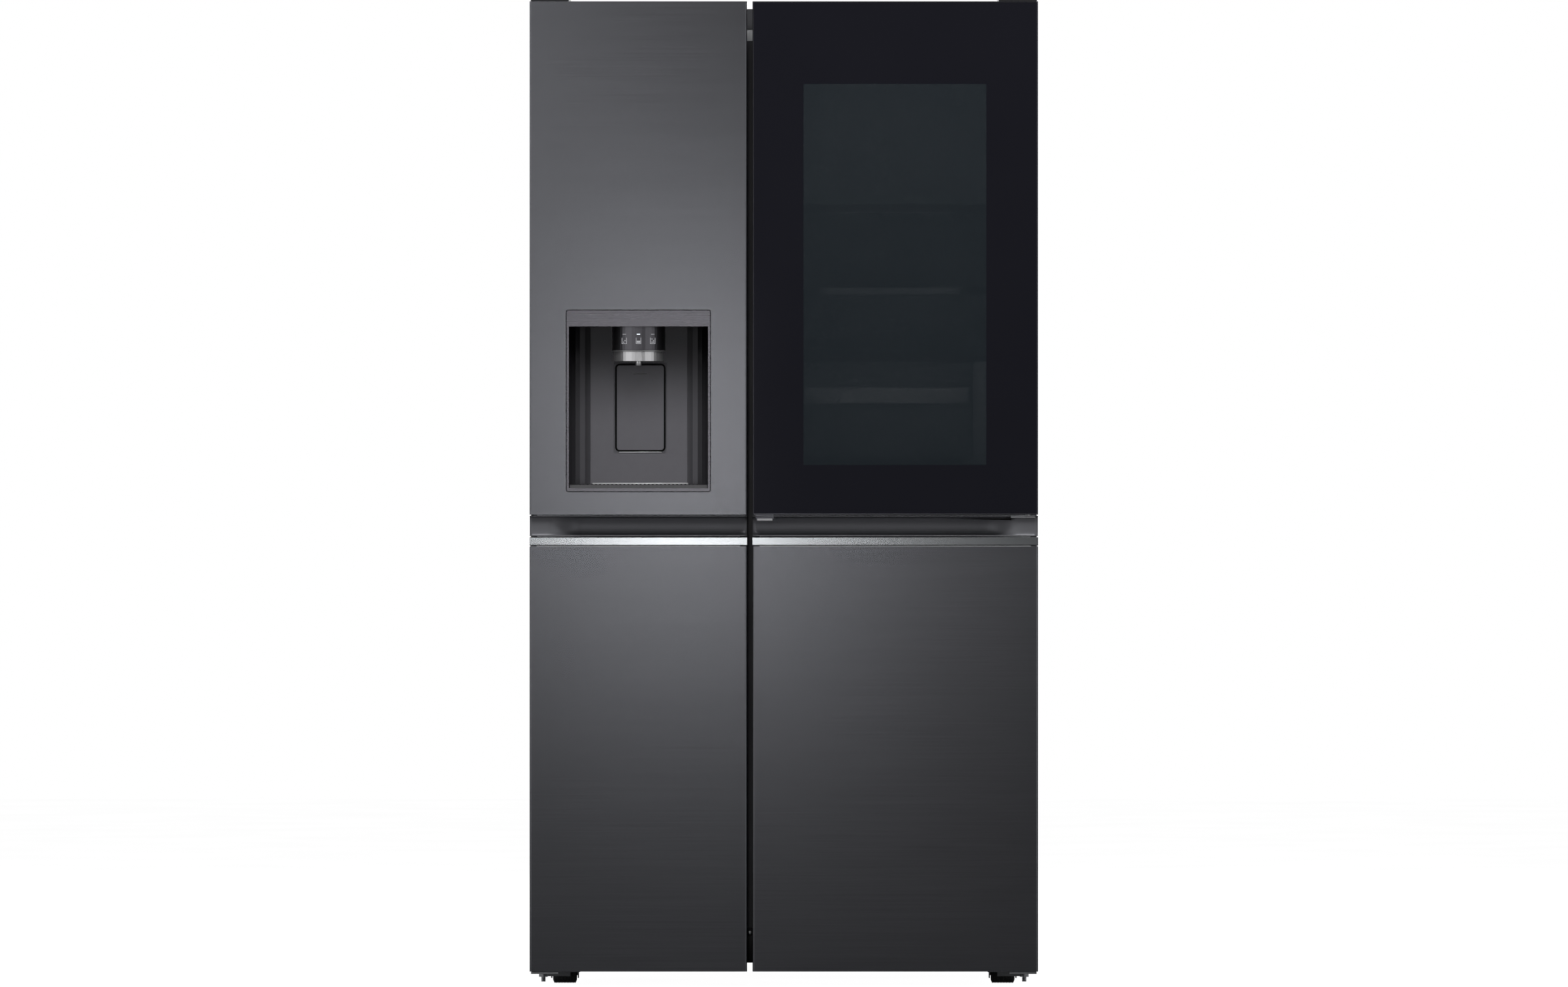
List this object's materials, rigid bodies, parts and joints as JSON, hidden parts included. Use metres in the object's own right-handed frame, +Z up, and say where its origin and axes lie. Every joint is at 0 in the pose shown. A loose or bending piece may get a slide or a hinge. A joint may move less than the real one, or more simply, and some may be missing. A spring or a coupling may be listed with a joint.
{
  "type": "side by side refrigerator",
  "caption": "Side by side refrigerator: freezer door with ice and water dispenser, fridge door with a glass door-in-door, grip recesses, drawers and rollers.",
  "frame": {"origin": "on the floor under the middle of the cabinet with its doors shut", "axes": "+Z up, -Y out of the front of the doors, +X to the right seen from the front"},
  "size_m": [0.913, 0.735, 1.79],
  "materials": {
    "dark_steel": "brushed, horizontal grain, near black",
    "cabinet_paint": "fine textured dark grey",
    "mullion_paint": "satin grey",
    "bright_trim": "brushed",
    "zinc_steel": "zinc plated",
    "chrome": "polished",
    "compressor_paint": "gloss",
    "coil_metal": "satin",
    "black_glass": "tinted, polished",
    "clear_plastic": "clear",
    "white_plastic": "satin",
    "grey_plastic": "satin",
    "bezel_plastic": "metallic grey",
    "black_plastic": "gloss",
    "grey_rubber": "matte"
  },
  "bodies": {
    "cabinet": {"cabinet_shell": "cabinet_paint", "back_panel": "cabinet_paint", "machine_cover": "grey_plastic", "mullion_strip": "mullion_paint", "freezer_liner": "white_plastic", "fridge_liner": "white_plastic", "base_plate": "zinc_steel", "top_hinge_left": "zinc_steel", "top_hinge_right": "zinc_steel", "hinge_cover_left": "black_plastic", "hinge_cover_right": "black_plastic", "bottom_hinge_left": "zinc_steel", "bottom_hinge_right": "zinc_steel", "compressor": "compressor_paint", "condenser": "coil_metal", "evaporator": "coil_metal", "evaporator_cover": "white_plastic", "freezer_shelf": "clear_plastic", "fridge_shelf": "clear_plastic", "wine_rack": "clear_plastic"},
    "freezer_drawer": {"freezer_drawer": "clear_plastic"},
    "crisper_drawer": {"crisper_drawer": "clear_plastic"},
    "deli_drawer": {"deli_drawer": "clear_plastic"},
    "condenser_fan": {"condenser_fan": "grey_plastic"},
    "evaporator_fan": {"evaporator_fan": "grey_plastic"},
    "front_roller_left": {"front_roller_left": "grey_plastic"},
    "front_roller_right": {"front_roller_right": "grey_plastic"},
    "rear_roller_left": {"rear_roller_left": "grey_plastic"},
    "rear_roller_right": {"rear_roller_right": "grey_plastic"},
    "levelling_foot_left": {"levelling_foot_left": "zinc_steel"},
    "levelling_foot_right": {"levelling_foot_right": "zinc_steel"},
    "freezer_door": {"freezer_door_liner": "white_plastic", "freezer_upper_skin": "dark_steel", "freezer_lower_skin": "dark_steel", "freezer_handle_pocket": "dark_steel", "freezer_handle_trim": "bright_trim", "freezer_gasket": "grey_rubber", "freezer_bin": "clear_plastic", "ice_bucket": "clear_plastic", "dispenser_housing": "black_plastic", "dispenser_bezel": "bezel_plastic", "dispenser_spout": "black_plastic", "dispenser_ring": "chrome", "drip_tray": "grey_plastic"},
    "ice_auger": {"ice_auger": "white_plastic"},
    "dispenser_paddle": {"dispenser_paddle": "black_plastic"},
    "ice_chute_flap": {"ice_chute_flap": "grey_rubber"},
    "fridge_door": {"fridge_door_liner": "white_plastic", "fridge_lower_skin": "dark_steel", "fridge_handle_pocket": "dark_steel", "fridge_handle_trim": "bright_trim", "fridge_gasket": "grey_rubber", "fridge_bin_lower": "clear_plastic", "fridge_bin_upper": "clear_plastic", "outer_door_hinge": "zinc_steel"},
    "outer_door": {"outer_door_frame": "dark_steel", "outer_door_glass": "black_glass", "outer_door_window": "black_glass", "outer_door_gasket": "grey_rubber"},
    "outer_door_latch": {"outer_door_latch": "chrome"}
  },
  "joints": [
    {"name": "freezer_door_hinge", "type": "hinge", "parent": "cabinet", "child": "freezer_door", "pos_m": [-0.4365, -0.3475, 0.9], "axis": [0, 0, -1], "range_deg": [0, 125]},
    {"name": "fridge_door_hinge", "type": "hinge", "parent": "cabinet", "child": "fridge_door", "pos_m": [0.4365, -0.3475, 0.9], "axis": [0, 0, 1], "range_deg": [0, 125]},
    {"name": "outer_door_hinge", "type": "hinge", "parent": "fridge_door", "child": "outer_door", "pos_m": [0.4365, -0.3475, 1.3], "axis": [0, 0, 1], "range_deg": [0, 110]},
    {"name": "outer_door_latch_press", "type": "slide", "parent": "outer_door", "child": "outer_door_latch", "axis": [0, 0, 1], "range_m": [0, 0.004], "stiffness_N_per_m": 900, "springref_m": -0.0005},
    {"name": "dispenser_paddle_press", "type": "hinge", "parent": "freezer_door", "child": "dispenser_paddle", "pos_m": [-0.2583, -0.299, 1.11], "axis": [1, 0, 0], "range_deg": [0, 6], "stiffness_Nm_per_rad": 1.2, "springref_deg": -1.72},
    {"name": "ice_chute_flap_open", "type": "hinge", "parent": "freezer_door", "child": "ice_chute_flap", "pos_m": [-0.261, -0.309, 1.19], "axis": [1, 0, 0], "range_deg": [0, 36]},
    {"name": "ice_auger_turn", "type": "hinge", "parent": "freezer_door", "child": "ice_auger", "pos_m": [-0.26, -0.217, 1.262], "axis": [1, 0, 0], "continuous": true},
    {"name": "freezer_drawer_slide", "type": "slide", "parent": "cabinet", "child": "freezer_drawer", "axis": [0, -1, 0], "range_m": [0, 0.2]},
    {"name": "crisper_drawer_slide", "type": "slide", "parent": "cabinet", "child": "crisper_drawer", "axis": [0, -1, 0], "range_m": [0, 0.2]},
    {"name": "deli_drawer_slide", "type": "slide", "parent": "cabinet", "child": "deli_drawer", "axis": [0, -1, 0], "range_m": [0, 0.2]},
    {"name": "condenser_fan_turn", "type": "hinge", "parent": "cabinet", "child": "condenser_fan", "pos_m": [-0.115, 0.25, 0.14], "axis": [1, 0, 0], "continuous": true},
    {"name": "evaporator_fan_turn", "type": "hinge", "parent": "cabinet", "child": "evaporator_fan", "pos_m": [-0.248, 0.279, 1.42], "axis": [0, 1, 0], "continuous": true},
    {"name": "front_roller_left_turn", "type": "hinge", "parent": "cabinet", "child": "front_roller_left", "pos_m": [-0.395, -0.232, 0.017], "axis": [1, 0, 0], "continuous": true},
    {"name": "rear_roller_left_turn", "type": "hinge", "parent": "cabinet", "child": "rear_roller_left", "pos_m": [-0.395, 0.3, 0.017], "axis": [1, 0, 0], "continuous": true},
    {"name": "levelling_foot_left_turn", "type": "hinge", "parent": "cabinet", "child": "levelling_foot_left", "pos_m": [-0.434, -0.235, 0.02], "axis": [0, 0, 1], "continuous": true},
    {"name": "front_roller_right_turn", "type": "hinge", "parent": "cabinet", "child": "front_roller_right", "pos_m": [0.395, -0.232, 0.017], "axis": [1, 0, 0], "continuous": true},
    {"name": "rear_roller_right_turn", "type": "hinge", "parent": "cabinet", "child": "rear_roller_right", "pos_m": [0.395, 0.3, 0.017], "axis": [1, 0, 0], "continuous": true},
    {"name": "levelling_foot_right_turn", "type": "hinge", "parent": "cabinet", "child": "levelling_foot_right", "pos_m": [0.434, -0.235, 0.02], "axis": [0, 0, 1], "continuous": true}
  ],
  "couplings": [
    {"joint": "freezer_drawer_slide", "follows": "freezer_door_hinge", "m_per_rad": 0.091672},
    {"joint": "crisper_drawer_slide", "follows": "fridge_door_hinge", "m_per_rad": 0.091672},
    {"joint": "deli_drawer_slide", "follows": "fridge_door_hinge", "m_per_rad": 0.091672},
    {"joint": "ice_chute_flap_open", "follows": "dispenser_paddle_press", "ratio": 6}
  ]
}
